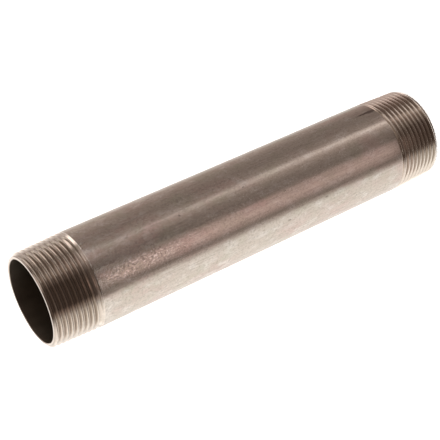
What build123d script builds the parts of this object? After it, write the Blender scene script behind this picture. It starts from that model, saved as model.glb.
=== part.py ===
from build123d import *
from math import atan, ceil, cos, degrees, radians, tan
import os

# Barrel nipple for 1 1/4 inch pipe: a length of stainless tube with a taper thread at each end.
# It stands on its bottom end. The origin is the centre of that end face, and +Z runs up the bore

# Tube, in millimetres
length = 200.0
outside_diameter = 42.4
wall = 2.9

# Taper pipe thread of size 1 1/4, right hand, Whitworth form
threads_per_inch = 11
flank_angle = 27.5            # each flank, from square to the axis
depth_in_pitches = 0.640327
taper_on_diameter = 1 / 16
gauge_length = 12.7           # end face to gauge plane
gauge_drop = 0.49             # the tube's diameter less that over the crests in the gauge plane: 41.91
useful_length = 19.1          # full form up to here
washout_length = 3.0          # from there the groove runs out to the tube's skin
turned_past_thread = 0.5      # each end is turned true before it is threaded, up to here
turned_depth = 0.06           # off the tube's skin where the crests' cone begins

# Ends
rim_width = 1.1               # flat face between the bore and the lead-in chamfer
lead_in_angle = 48.0          # of the chamfer, from the axis
bore_deburr = 0.2

# Where each thread starts, in degrees about its own inward axis
bottom_thread_turn = 185.0
top_thread_turn = 215.0

outside_radius = outside_diameter / 2
bore_radius = outside_radius - wall
rim_radius = bore_radius + rim_width

# The crests follow a cone that meets the turned band near the skin, and the roots a cone inside it
pitch = 25.4 / threads_per_inch
thread_depth = depth_in_pitches * pitch
taper = taper_on_diameter / 2
taper_angle = atan(taper)
crest_radius = outside_radius - (gauge_drop + gauge_length * taper_on_diameter) / 2
root_radius = crest_radius - thread_depth
taper_length = (outside_radius - turned_depth - crest_radius) / taper
lead_in_length = (crest_radius - rim_radius) / (tan(radians(lead_in_angle)) - taper)

# The groove's section: half widths at the root and just clear of the crests
clear_of_crest = 0.15
flank_slope = tan(radians(flank_angle))
root_half_width = pitch / 4 - thread_depth / 2 * flank_slope
cut_depth = thread_depth + clear_of_crest
mouth_half_width = root_half_width + cut_depth * flank_slope

# The groove enters one turn outside the end face and goes on past the washout
threaded_length = useful_length + washout_length
turned_length = threaded_length + turned_past_thread
groove_start = -pitch
groove_turns = ceil(threaded_length / pitch + 0.5) + 1

# The washout's cone leaves the roots at the useful length and reaches the skin at the threaded length
root_at_washout = root_radius + useful_length * taper
washout_slope = (outside_radius - root_at_washout) / washout_length
washout_inside = root_at_washout - clear_of_crest
washout_outside = outside_radius + cut_depth


def washout_height(radius):
    """Height of the washout's cone above the end face, where it has this radius."""
    return useful_length + (radius - root_at_washout) / washout_slope


with BuildPart() as thread_groove:
    # One turn at a time. A turn's path measures its pitch along the cone's slant
    for turn in range(groove_turns):
        turn_start = groove_start + turn * pitch
        with BuildLine():
            path = Helix(
                pitch / cos(taper_angle),
                pitch,
                root_radius + turn_start * taper,
                center=(0, 0, turn_start),
                cone_angle=degrees(taper_angle),
            )
        with BuildSketch(Plane(path ^ 0)):
            with BuildLine():
                Polyline(
                    (0, -root_half_width),
                    (0, root_half_width),
                    (-cut_depth, mouth_half_width),
                    (-cut_depth, -mouth_half_width),
                    close=True,
                )
            make_face()
        sweep(path=path, is_frenet=True)

    # A cone that rises from the roots to the tube's skin lifts the last turns out of the metal
    with BuildSketch(Plane.XZ):
        with BuildLine():
            Polyline(
                (washout_inside, washout_height(washout_inside)),
                (washout_outside, washout_height(washout_outside)),
                (washout_outside, threaded_length + 3 * pitch),
                (washout_inside, threaded_length + 3 * pitch),
                close=True,
            )
        make_face()
    revolve(axis=Axis.Z, mode=Mode.SUBTRACT)


with BuildPart() as pipe_nipple:
    with BuildSketch(Plane.XZ):
        with BuildLine():
            Polyline(
                (bore_radius, length / 2),
                (outside_radius, length / 2),
                (outside_radius, turned_length),
                (outside_radius - turned_depth, taper_length),
                (crest_radius + lead_in_length * taper, lead_in_length),
                (rim_radius, 0),
                (bore_radius + bore_deburr, 0),
                (bore_radius, bore_deburr),
                close=True,
            )
        make_face()
        mirror(about=Plane.XZ.offset(-length / 2))
    revolve(axis=Axis.Z)
    add(thread_groove.part, rotation=(0, 0, bottom_thread_turn), mode=Mode.SUBTRACT)
    with Locations(Location((0, 0, length), (180, 0, top_thread_turn))):
        add(thread_groove.part, mode=Mode.SUBTRACT)

pipe_nipple.part.label = "pipe_nipple"
os.makedirs("parts", exist_ok=True)
export_step(pipe_nipple.part, "parts/pipe_nipple.step")
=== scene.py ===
from math import atan2, cos, pi, radians, sin, sqrt, tan

import bmesh
import bpy
from mathutils import Euler, Matrix, Vector


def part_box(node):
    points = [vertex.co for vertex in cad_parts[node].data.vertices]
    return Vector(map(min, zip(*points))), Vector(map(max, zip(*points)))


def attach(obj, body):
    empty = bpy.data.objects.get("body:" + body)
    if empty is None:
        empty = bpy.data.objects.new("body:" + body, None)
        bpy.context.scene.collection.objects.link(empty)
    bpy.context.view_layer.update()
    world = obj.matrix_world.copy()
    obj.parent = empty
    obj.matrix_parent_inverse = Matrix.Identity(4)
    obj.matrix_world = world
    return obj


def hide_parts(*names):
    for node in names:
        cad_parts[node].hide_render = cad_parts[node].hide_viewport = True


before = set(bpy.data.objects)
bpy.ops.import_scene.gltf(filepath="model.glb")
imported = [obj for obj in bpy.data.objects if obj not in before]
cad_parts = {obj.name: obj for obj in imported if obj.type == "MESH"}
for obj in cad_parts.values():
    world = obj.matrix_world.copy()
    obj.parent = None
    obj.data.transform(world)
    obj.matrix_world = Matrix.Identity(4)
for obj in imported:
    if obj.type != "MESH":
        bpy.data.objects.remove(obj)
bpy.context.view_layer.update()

low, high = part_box("pipe_nipple")

# The nipple's sizes, in metres. Length and diameter come from the frame
MM = 0.001
LENGTH = high.z - low.z
SKIN_RADIUS = 21.2 * MM
BORE_RADIUS = 18.3 * MM
RIM_RADIUS = 19.4 * MM
BORE_DEBURR = 0.2 * MM

# Whitworth taper thread
PITCH = 25.4 / 11 * MM
FLANK = radians(27.5)
THREAD_DEPTH = 0.640327 * PITCH
CREST_ROUNDING = 0.08 * PITCH
ROOT_ROUNDING = (PITCH / 2 / tan(FLANK) - THREAD_DEPTH) / (1 / sin(FLANK) - 1) - CREST_ROUNDING
TAPER = 1 / 32
CREST_RADIUS = SKIN_RADIUS - (0.49 * MM + 12.7 * MM * 2 * TAPER) / 2
LEAD_IN = tan(radians(48))
USEFUL_LENGTH = 19.1 * MM
THREADED_LENGTH = 22.1 * MM
TURNED_LENGTH = 22.6 * MM
TURNED_DEPTH = 0.06 * MM
BOTTOM_TURN = radians(185)
TOP_TURN = radians(215)

# Camera, fitted to the outline, the mouth and the thread in the photograph
CAMERA_PLACE = Vector((0, -480.1, 337.3)) * MM
CAMERA_YAW = radians(0.15)
CAMERA_PITCH = radians(-25.49)
CAMERA_ROLL = radians(-114.23)
CAMERA_LENS = 100.5


def make_camera():
    data = bpy.data.cameras.new("camera")
    data.sensor_width = 36
    data.lens = CAMERA_LENS
    data.clip_start, data.clip_end = 0.01, 20
    camera = bpy.data.objects.new("camera", data)
    bpy.context.scene.collection.objects.link(camera)
    level = Euler((pi / 2 + CAMERA_PITCH, 0, CAMERA_YAW)).to_matrix().to_4x4()
    camera.matrix_world = Matrix.Translation(CAMERA_PLACE) @ level @ Matrix.Rotation(CAMERA_ROLL, 4, "Z")
    bpy.context.scene.camera = camera


def groove_height(phase):
    """Height of the thread above its root, at this share of a pitch from the middle of the groove.

    The roundings of crest and root touch the straight flank, and the root's is what the crest's leaves room for.
    """
    x = abs((phase + 0.5) % 1 - 0.5) * PITCH
    from_crest = PITCH / 2 - x
    if from_crest < CREST_ROUNDING * cos(FLANK):
        return THREAD_DEPTH - CREST_ROUNDING + sqrt(CREST_ROUNDING**2 - from_crest**2)
    if x < ROOT_ROUNDING * cos(FLANK):
        return ROOT_ROUNDING - sqrt(ROOT_ROUNDING**2 - x**2)
    return THREAD_DEPTH + CREST_ROUNDING * (1 / sin(FLANK) - 1) - from_crest / tan(FLANK)


def end_radius(depth, phase):
    """Radius of the outer surface, this deep from an end face, at this phase of the thread."""
    crest = CREST_RADIUS + depth * TAPER
    root = crest - THREAD_DEPTH
    turned = SKIN_RADIUS - TURNED_DEPTH
    turned_start = (turned - CREST_RADIUS) / TAPER
    if depth > turned_start:
        share = min((depth - turned_start) / (TURNED_LENGTH - turned_start), 1)
        turned += TURNED_DEPTH * share
    outline = min(crest, turned, RIM_RADIUS + depth * LEAD_IN)
    washout = CREST_RADIUS - THREAD_DEPTH + USEFUL_LENGTH * TAPER
    rise = (SKIN_RADIUS - washout) / (THREADED_LENGTH - USEFUL_LENGTH)
    groove = max(root + groove_height(phase), washout + (depth - USEFUL_LENGTH) * rise)
    return min(outline, groove)


# Mesh of the nipple: rows that follow the thread at the ends, rings along the tube
STEPS = 180
ROWS_PER_PITCH = 16
TUBE_RINGS = 20
# Rows are moved a little onto the circles where the lead-in and the run-out of the thread end
CIRCLES = (CREST_RADIUS - RIM_RADIUS) / (LEAD_IN - TAPER), THREADED_LENGTH


def threaded_end(mesh, turn, at):
    """Outer surface of one threaded end. at(depth, angle, radius) places a point. Returns the rings that bound it."""
    rim, skin = [], []
    for step in range(STEPS):
        angle = 2 * pi * step / STEPS
        rim.append(mesh.verts.new(at(0, angle, end_radius(0, (turn - angle) / (2 * pi)))))
        skin.append(mesh.verts.new(at(TURNED_LENGTH, angle, SKIN_RADIUS)))
    grid = {}

    def vertex(step, row):
        step, row = step % STEPS, row + ROWS_PER_PITCH * (step // STEPS)
        angle = 2 * pi * step / STEPS
        depth = PITCH * (row / ROWS_PER_PITCH + step / STEPS)
        for circle in CIRCLES:
            if abs(depth - circle) < PITCH / ROWS_PER_PITCH / 2:
                depth = circle
        if depth <= 0:
            return rim[step]
        if depth >= TURNED_LENGTH:
            return skin[step]
        if (step, row) not in grid:
            radius = end_radius(depth, depth / PITCH + (turn - angle) / (2 * pi))
            grid[step, row] = mesh.verts.new(at(depth, angle, radius))
        return grid[step, row]

    last_row = int(TURNED_LENGTH / PITCH * ROWS_PER_PITCH) + 1
    for row in range(-ROWS_PER_PITCH, last_row):
        for step in range(STEPS):
            corners = []
            for corner in (vertex(step, row), vertex(step + 1, row), vertex(step + 1, row + 1), vertex(step, row + 1)):
                if corner not in corners:
                    corners.append(corner)
            if len(corners) > 2:
                mesh.faces.new(corners)
    return rim, skin


def ring(mesh, z, radius):
    angles = [2 * pi * step / STEPS for step in range(STEPS)]
    return [mesh.verts.new((radius * cos(a), radius * sin(a), z)) for a in angles]


def bridge(mesh, one, other):
    for step in range(STEPS):
        after = (step + 1) % STEPS
        mesh.faces.new((one[step], one[after], other[after], other[step]))


def make_nipple():
    mesh = bmesh.new()
    bottom_rim, bottom_skin = threaded_end(
        mesh, BOTTOM_TURN, lambda depth, angle, radius: (radius * cos(angle), radius * sin(angle), depth)
    )
    top_rim, top_skin = threaded_end(
        mesh, TOP_TURN, lambda depth, angle, radius: (radius * cos(angle), -radius * sin(angle), LENGTH - depth)
    )
    # The top end's angles run the other way round
    top_rim = [top_rim[-step % STEPS] for step in range(STEPS)]
    top_skin = [top_skin[-step % STEPS] for step in range(STEPS)]

    tube = [bottom_skin]
    for number in range(1, TUBE_RINGS):
        z = TURNED_LENGTH + (LENGTH - 2 * TURNED_LENGTH) * number / TUBE_RINGS
        tube.append(ring(mesh, z, SKIN_RADIUS))
    tube.append(top_skin)

    edge = BORE_RADIUS + BORE_DEBURR
    bore = [bottom_rim, ring(mesh, 0, edge)]
    for number in range(TUBE_RINGS + 1):
        z = BORE_DEBURR + (LENGTH - 2 * BORE_DEBURR) * number / TUBE_RINGS
        bore.append(ring(mesh, z, BORE_RADIUS))
    bore += [ring(mesh, LENGTH, edge), top_rim]

    for rings in (tube, bore):
        for one, other in zip(rings, rings[1:]):
            bridge(mesh, one, other)
    bmesh.ops.recalc_face_normals(mesh, faces=mesh.faces)
    data = bpy.data.meshes.new("nipple")
    mesh.to_mesh(data)
    mesh.free()
    data.shade_smooth()
    data.set_sharp_from_angle(angle=radians(32))
    piece = bpy.data.objects.new("nipple", data)
    bpy.context.scene.collection.objects.link(piece)
    piece.data.materials.append(stainless_steel())
    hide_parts("pipe_nipple")
    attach(piece, "root")
    return piece


def new_material(name):
    material = bpy.data.materials.new(name)
    material.use_nodes = True
    nodes = material.node_tree.nodes
    nodes.clear()
    return material, nodes, material.node_tree.links


STEEL = (0.72, 0.665, 0.605)
# Painted shade: the dark colour of the bore's wall
BORE_SHADE = (0.26, 0.22, 0.18)
# Painted shade: the colour that the thread grooves darken towards
GROOVE_SHADE = (0.30, 0.25, 0.21)

# Clouds and streaks in the steel's colour: how many to the metre around and along the tube, how much detail,
# the tint, and the most of it
CLOUDS = (
    ("rosy", 90, 45, 4, (0.74, 0.59, 0.56), 0.75),
    ("olive", 130, 80, 4, (0.62, 0.62, 0.52), 0.65),
    ("pale", 240, 150, 4, (0.92, 0.90, 0.87), 0.65),
    ("drawn", 1400, 70, 3, (0.50, 0.45, 0.41), 0.40),
    ("grain", 1100, 900, 3, (0.47, 0.42, 0.38), 0.55),
)

# Marks on the tube: millimetres below the top end, degrees from the side that faces the camera, length and
# width in millimetres, and how dark
MARKS = (
    (172.5, 48, 12, 1.5, 0.95),
    (175.5, 47.5, 6.5, 2.6, 0.9),
    (5.7, -36, 1.1, 1.0, 0.9),
    (26, 56.5, 1.6, 1.0, 0.45),
    (66, 20, 1.0, 1.0, 0.7),
    (98, 20.5, 1.8, 0.7, 0.6),
    (114, -39.5, 2.2, 1.2, 0.55),
    (134.5, -31, 2.6, 0.8, 0.5),
    (115, -3, 2.0, 0.8, 0.45),
    (35, -18, 1.2, 0.9, 0.6),
    (23.5, 37.5, 1.2, 1.0, 0.6),
)
MARK_TINT = (0.22, 0.18, 0.16)

# A stretch near the top end is coarser, with dark specks and painted glints, light flecks for its sparkle, and one
# bigger painted glint, and a warm stain covers one side of the bottom thread
COARSE_PATCH = (42, -11, 54, 9, 1)
PAINTED_GLINT = (48.8, -9.5, 2.6, 1.3, 1)
GLINT_TINT = (1.0, 0.96, 0.93)
STAIN = (189, 58, 30, 17, 0.6)
STAIN_TINT = (0.70, 0.52, 0.46)


class Maker:
    """Adds nodes to one material and joins them."""

    def __init__(self, nodes, links):
        self.nodes, self.links = nodes, links

    def put(self, value, socket):
        if hasattr(value, "node"):
            self.links.new(value, socket)
        elif socket.type == "RGBA":
            socket.default_value = (*value, 1)
        else:
            socket.default_value = value

    def math(self, operation, *values):
        node = self.nodes.new("ShaderNodeMath")
        node.operation = operation
        for value, socket in zip(values, node.inputs):
            self.put(value, socket)
        return node.outputs["Value"]

    def vector(self, operation, *values, output="Vector"):
        node = self.nodes.new("ShaderNodeVectorMath")
        node.operation = operation
        for value, socket in zip(values, node.inputs):
            self.put(value, socket)
        return node.outputs[output]

    def ramp(self, value, start, end, low=0.0, high=1.0, smooth=True):
        node = self.nodes.new("ShaderNodeMapRange")
        node.interpolation_type = "SMOOTHSTEP" if smooth else "LINEAR"
        for name, number in (("From Min", start), ("From Max", end), ("To Min", low), ("To Max", high)):
            node.inputs[name].default_value = number
        self.put(value, node.inputs["Value"])
        return node.outputs["Result"]

    def mix(self, share, one, other):
        node = self.nodes.new("ShaderNodeMix")
        node.data_type = "RGBA"
        self.put(share, node.inputs["Factor"])
        self.put(one, node.inputs["A"])
        self.put(other, node.inputs["B"])
        return node.outputs["Result"]

    def noise(self, place, around, along, detail, shift=0.0):
        stretched = self.vector("MULTIPLY_ADD", place, (around, around, along), (shift, shift, shift))
        node = self.nodes.new("ShaderNodeTexNoise")
        node.inputs["Scale"].default_value = 1
        node.inputs["Detail"].default_value = detail
        node.inputs["Roughness"].default_value = 0.55
        self.put(stretched, node.inputs["Vector"])
        return node.outputs["Fac"]

    def bump(self, height, size, normal=None):
        node = self.nodes.new("ShaderNodeBump")
        node.inputs["Distance"].default_value = size
        self.put(height, node.inputs["Height"])
        if normal:
            self.put(normal, node.inputs["Normal"])
        return node.outputs["Normal"]


def on_tube(from_top, degrees_round):
    angle = radians(degrees_round)
    return Vector((SKIN_RADIUS * sin(angle), -SKIN_RADIUS * cos(angle), LENGTH - from_top * MM))


def stainless_steel():
    material, nodes, links = new_material("stainless_steel")
    make = Maker(nodes, links)
    place = nodes.new("ShaderNodeTexCoord").outputs["Object"]
    radius = make.vector("LENGTH", make.vector("MULTIPLY", place, (1, 1, 0)), output="Value")
    height = make.vector("DOT_PRODUCT", place, (0, 0, 1), output="Value")
    from_middle = make.math("ABSOLUTE", make.math("SUBTRACT", height, LENGTH / 2))
    edge = LENGTH / 2 - TURNED_LENGTH
    threads = make.ramp(from_middle, edge, edge + 0.4 * MM)
    inside = make.ramp(radius, BORE_RADIUS, BORE_RADIUS + BORE_DEBURR / 2, 1, 0)

    colour = STEEL
    for number, (name, around, along, detail, tint, most) in enumerate(CLOUDS):
        cloud = make.noise(place, around, along, detail, 10 * number)
        colour = make.mix(make.ramp(cloud, 0.45, 0.75, 0, most), colour, tint)
    warp = nodes.new("ShaderNodeTexNoise")
    warp.inputs["Scale"].default_value = 900
    make.put(place, warp.inputs["Vector"])
    shaken = make.vector("MULTIPLY_ADD", make.vector("SUBTRACT", warp.outputs["Color"], (0.5, 0.5, 0.5)),
                         (1.2 * MM, 1.2 * MM, 1.2 * MM), place)
    def blot(from_top, turn, size, width, depth):
        offset = make.vector("SUBTRACT", shaken, on_tube(from_top, turn))
        reach = Vector((2 / width, 2 / width, 2 / size)) / MM
        distance = make.vector("LENGTH", make.vector("MULTIPLY", offset, reach), output="Value")
        return make.ramp(distance, 0.4, 1.1, depth, 0)

    coarse = blot(*COARSE_PATCH)
    glints = make.ramp(make.noise(place, 1300, 1000, 2, 90), 0.52, 0.68)
    specks = make.ramp(make.noise(place, 1300, 1000, 2, 95), 0.52, 0.70, 0, 0.6)
    colour = make.mix(make.math("MULTIPLY", specks, coarse), colour, MARK_TINT)
    # Painted glints: light flecks over the coarse stretch, and one bigger one, mixed into the colour
    glints = make.math("MAXIMUM", make.math("MULTIPLY", glints, coarse), blot(*PAINTED_GLINT))
    colour = make.mix(glints, colour, GLINT_TINT)
    colour = make.mix(blot(*STAIN), colour, STAIN_TINT)
    dark = blot(*MARKS[0])
    for mark in MARKS[1:]:
        dark = make.math("MAXIMUM", dark, blot(*mark))
    colour = make.mix(make.math("MULTIPLY", threads, 0.5), colour, STEEL)
    colour = make.mix(dark, colour, MARK_TINT)
    # Painted shade: in the threads the colour darkens the deeper the surface lies below the crest, down into each
    # groove
    from_end = make.math("SUBTRACT", LENGTH / 2, from_middle)
    crest = make.math("MULTIPLY_ADD", from_end, TAPER, CREST_RADIUS)
    sunk = make.math("SUBTRACT", crest, radius)
    groove_shade = make.ramp(sunk, 0.15 * THREAD_DEPTH, THREAD_DEPTH, 0, 0.6)
    colour = make.mix(make.math("MULTIPLY", groove_shade, threads), colour, GROOVE_SHADE)
    # Painted shade: the bore's wall takes a dark colour
    colour = make.mix(inside, colour, BORE_SHADE)

    ripple = make.noise(place, 260, 24, 2, 50)
    pickled = make.noise(place, 1300, 900, 3, 60)
    turned = make.noise(place, 60, 5200, 2, 70)
    pickled = make.math("MULTIPLY", pickled, make.math("MULTIPLY_ADD", coarse, 1.6, 1))
    skin_bump = make.bump(pickled, 14e-6, make.bump(ripple, 22e-6))
    turned_bump = make.bump(turned, 2e-6)
    normal = nodes.new("ShaderNodeMix")
    normal.data_type = "VECTOR"
    make.put(threads, normal.inputs["Factor"])
    make.put(skin_bump, normal.inputs[4])
    make.put(turned_bump, normal.inputs[5])
    rough = make.ramp(make.noise(place, 500, 60, 3, 80), 0.3, 0.7, 0.13, 0.22)
    rough = make.math("MULTIPLY_ADD", threads, -0.05, rough)
    rough = make.math("ADD", rough, make.math("MULTIPLY", inside, 0.3))
    rough = make.math("ADD", rough, make.math("MULTIPLY", dark, 0.3))

    output = nodes.new("ShaderNodeOutputMaterial")
    steel = nodes.new("ShaderNodeBsdfPrincipled")
    steel.inputs["Metallic"].default_value = 1
    make.put(colour, steel.inputs["Base Color"])
    make.put(rough, steel.inputs["Roughness"])
    make.put(normal.outputs[1], steel.inputs["Normal"])
    links.new(steel.outputs["BSDF"], output.inputs["Surface"])
    return material


def link(name, data, place=(0, 0, 0)):
    thing = bpy.data.objects.new(name, data)
    thing.location = place
    bpy.context.scene.collection.objects.link(thing)
    return thing


# Glowing sheets stand round the nipple and are seen in its reflections alone, as painted reflections: a fan on the
# floor, which the tube mirrors because the camera looks down, and a flag close to the upper thread, dark in its
# middle, that paints shade there. Each stop gives the place on the tube where the camera sees it, in degrees from the
# side that faces the camera, its tint, and its level close in and far out. Between stops the sheet shades over
CREAM = (1.0, 0.94, 0.88)
ROSE = (1.0, 0.76, 0.69)
BROWN = (1.0, 0.81, 0.72)
PINK = (1.0, 0.87, 0.81)
FAN = (
    (-89, CREAM, 0.98, 1.02),
    (-60, CREAM, 1.00, 1.05),
    (-34, CREAM, 0.88, 0.94),
    (-28, BROWN, 0.36, 0.44),
    (-24, BROWN, 0.22, 0.20),
    (-19, ROSE, 0.36, 0.46),
    (-13, ROSE, 0.50, 0.76),
    (-4, ROSE, 0.40, 0.52),
    (-1, BROWN, 0.25, 0.26),
    (3, BROWN, 0.22, 0.18),
    (12, BROWN, 0.27, 0.23),
    (19, BROWN, 0.42, 0.36),
    (24, PINK, 0.96, 0.44),
    (28, BROWN, 0.32, 0.30),
    (40, BROWN, 0.23, 0.23),
    (55, BROWN, 0.24, 0.35),
    (68, BROWN, 0.41, 0.50),
    (79, CREAM, 0.74, 0.76),
    (89, CREAM, 0.93, 0.93),
)
FAN_HEIGHT = 0.3 * MM
# Rings of the fan, in millimetres from the nipple's middle, and the share of its light left between the two
# stops of the shade: none at the foot, where the lower thread mirrors it, or far out, where the upper one does
FAN_RINGS = ((21.2, 0.0), (42, 0.0), (62, 1.0), (240, 1.0), (500, 1.0), (570, 0.0), (900, 0.0))
SHADE_FROM, SHADE_TO, SHADE_FADE = -24, 5, 8
SHADE = (0.105, 0.078, 0.066)
FLAG = ((-36, CREAM, 0.75), (-30, BROWN, 0.42), (-25, SHADE, 1), (6, SHADE, 1), (16, BROWN, 0.30))
FLAG_RADIUS = 27 * MM
FLAG_BOTTOM = LENGTH - 23 * MM
FLAG_TOP = LENGTH + 4 * MM


def seen_at(place, reach, height):
    """Where the tube mirrors a thing this far from its axis, for a place in degrees on the tube."""
    angle = radians(place)
    along = sqrt(reach**2 - (SKIN_RADIUS * sin(angle)) ** 2) - SKIN_RADIUS * cos(angle)
    x = SKIN_RADIUS * sin(angle) + along * sin(2 * angle)
    y = -SKIN_RADIUS * cos(angle) - along * cos(2 * angle)
    return x, y, height


def shaded(stops, place):
    """Colours at this place, shading over from one stop to the next: one for each of a stop's levels."""
    for (start, tint, *levels), (end, next_tint, *next_levels) in zip(stops, stops[1:]):
        if place <= end:
            share = (place - start) / (end - start)
            pairs = zip(levels, next_levels)
            return [Vector(tint).lerp(Vector(next_tint) * (last / first), share) * first for first, last in pairs]


def make_glowing_sheet(name, columns):
    """A glowing sheet from columns of points, each with its colour, seen in reflections alone."""
    rows = len(columns[0])
    points = [point for column in columns for point, colour in column]
    faces = []
    for number in range(1, len(columns)):
        for row in range(1, rows):
            corner = number * rows + row
            faces.append((corner, corner - 1, corner - rows - 1, corner - rows))
    data = bpy.data.meshes.new(name)
    data.from_pydata(points, [], faces)
    shades = data.color_attributes.new("shade", "FLOAT_COLOR", "POINT")
    for number, (point, colour) in enumerate(pair for column in columns for pair in column):
        shades.data[number].color = (*colour, 1)
    material, nodes, links = new_material(name)
    output = nodes.new("ShaderNodeOutputMaterial")
    light = nodes.new("ShaderNodeEmission")
    shade = nodes.new("ShaderNodeVertexColor")
    shade.layer_name = "shade"
    links.new(shade.outputs["Color"], light.inputs["Color"])
    links.new(light.outputs["Emission"], output.inputs["Surface"])
    data.materials.append(material)
    paper = link(name, data)
    paper.visible_camera = paper.visible_shadow = paper.visible_diffuse = False


def make_fan():
    columns = []
    for place in range(FAN[0][0], FAN[-1][0] + 1):
        near, far = shaded(FAN, place)
        column = []
        for reach, lit in FAN_RINGS:
            lit = max(lit, min((place - SHADE_TO) / SHADE_FADE, 1), min((SHADE_FROM - place) / SHADE_FADE, 1))
            colour = Vector(SHADE).lerp(near.lerp(far, min(reach / 500, 1)), lit)
            column.append((seen_at(place, reach * MM, FAN_HEIGHT), colour))
        columns.append(column)
    make_glowing_sheet("fan", columns)


def make_flag():
    columns = []
    for place in range(FLAG[0][0], FLAG[-1][0] + 1):
        (colour,) = shaded(FLAG, place)
        columns.append([(seen_at(place, FLAG_RADIUS, height), colour) for height in (FLAG_BOTTOM, FLAG_TOP)])
    make_glowing_sheet("flag", columns)


def make_floor():
    data = bpy.data.meshes.new("floor")
    half = 3
    data.from_pydata([(-half, -half, 0), (half, -half, 0), (half, half, 0), (-half, half, 0)], [], [(0, 1, 2, 3)])
    material, nodes, links = new_material("floor")
    output = nodes.new("ShaderNodeOutputMaterial")
    paper = nodes.new("ShaderNodeBsdfDiffuse")
    paper.inputs["Color"].default_value = (0.88, 0.88, 0.88, 1)
    glow = nodes.new("ShaderNodeEmission")
    path = nodes.new("ShaderNodeLightPath")
    seen = nodes.new("ShaderNodeMath")
    seen.operation = "MAXIMUM"
    level = nodes.new("ShaderNodeMath")
    level.operation = "MULTIPLY"
    level.inputs[1].default_value = 0.35
    both = nodes.new("ShaderNodeAddShader")
    links.new(path.outputs["Is Camera Ray"], seen.inputs[0])
    links.new(path.outputs["Is Glossy Ray"], seen.inputs[1])
    links.new(seen.outputs[0], level.inputs[0])
    links.new(level.outputs[0], glow.inputs["Strength"])
    links.new(paper.outputs["BSDF"], both.inputs[0])
    links.new(glow.outputs["Emission"], both.inputs[1])
    links.new(both.outputs["Shader"], output.inputs["Surface"])
    data.materials.append(material)
    link("floor", data)


def make_lamp(name, place, size, power, colour):
    data = bpy.data.lights.new(name, "AREA")
    data.shape = "RECTANGLE"
    data.size, data.size_y = size
    data.energy = power
    data.color = colour
    lamp = link(name, data, place)
    lamp.rotation_euler = (-Vector(place)).to_track_quat("-Z", "Y").to_euler()
    lamp.visible_glossy = False


# The studio is dim, with soft patches of light: degrees round from the side that faces the camera, degrees
# up, colour, level, and the degrees out to where it is full and where it ends
CEILING = (0.105, 0.075, 0.060)
PATCHES = (
    ("left_wall", -107, 13, (1.0, 0.955, 0.90), 1.20, 20, 49),
    ("left_front", -45, -3, (1.0, 0.93, 0.85), 0.80, 6, 16),
    ("back_wall", -170, -3, (1.0, 0.96, 0.92), 1.10, 19, 47),
    ("back_high", -161, 50, (1.0, 0.93, 0.86), 0.80, 13, 31),
    ("right_wall", 130, 6, (1.0, 0.89, 0.84), 0.54, 22, 55),
    ("right_front", 98, 6, (1.0, 0.89, 0.83), 1.15, 10, 26),
    ("front", 45, -4, (1.0, 0.88, 0.81), 0.32, 30, 74),
    ("right_high", 62, 44, (1.0, 0.92, 0.87), 0.55, 6, 16),
    ("back_window", 180, 17, (1.0, 0.98, 0.96), 0.45, 6, 14),
    ("front_high", 66, 66, (1.0, 0.86, 0.78), 0.50, 8, 20),
)


def make_world():
    world = bpy.data.worlds.new("world")
    bpy.context.scene.world = world
    world.use_nodes = True
    nodes, links = world.node_tree.nodes, world.node_tree.links
    background = nodes["Background"]
    place = nodes.new("ShaderNodeTexCoord")
    colour = None
    for name, turn, up, tint, level, full, end in PATCHES:
        turn, up = radians(turn), radians(up)
        along = nodes.new("ShaderNodeVectorMath")
        along.operation = "DOT_PRODUCT"
        along.inputs[1].default_value = (sin(turn) * cos(up), -cos(turn) * cos(up), sin(up))
        links.new(place.outputs["Generated"], along.inputs[0])
        share = nodes.new("ShaderNodeMapRange")
        share.interpolation_type = "SMOOTHSTEP"
        share.inputs["From Min"].default_value = cos(radians(end))
        share.inputs["From Max"].default_value = cos(radians(full))
        links.new(along.outputs["Value"], share.inputs["Value"])
        total = nodes.new("ShaderNodeVectorMath")
        total.operation = "MULTIPLY_ADD"
        links.new(share.outputs["Result"], total.inputs[0])
        total.inputs[1].default_value = [shade * level for shade in tint]
        if colour:
            links.new(colour, total.inputs[2])
        else:
            total.inputs[2].default_value = CEILING
        colour = total.outputs["Vector"]
    links.new(colour, background.inputs["Color"])


def make_light():
    make_lamp("key", (0, -0.9, 1.5), (1.2, 1.2), 30, (1.0, 0.98, 0.96))
    make_lamp("top", (0, 0.3, 1.8), (1.5, 1.5), 20, (1.0, 0.98, 0.96))
    make_world()


bpy.context.scene.view_settings.view_transform = "Standard"
make_camera()
make_nipple()
make_floor()
make_fan()
make_flag()
make_light()
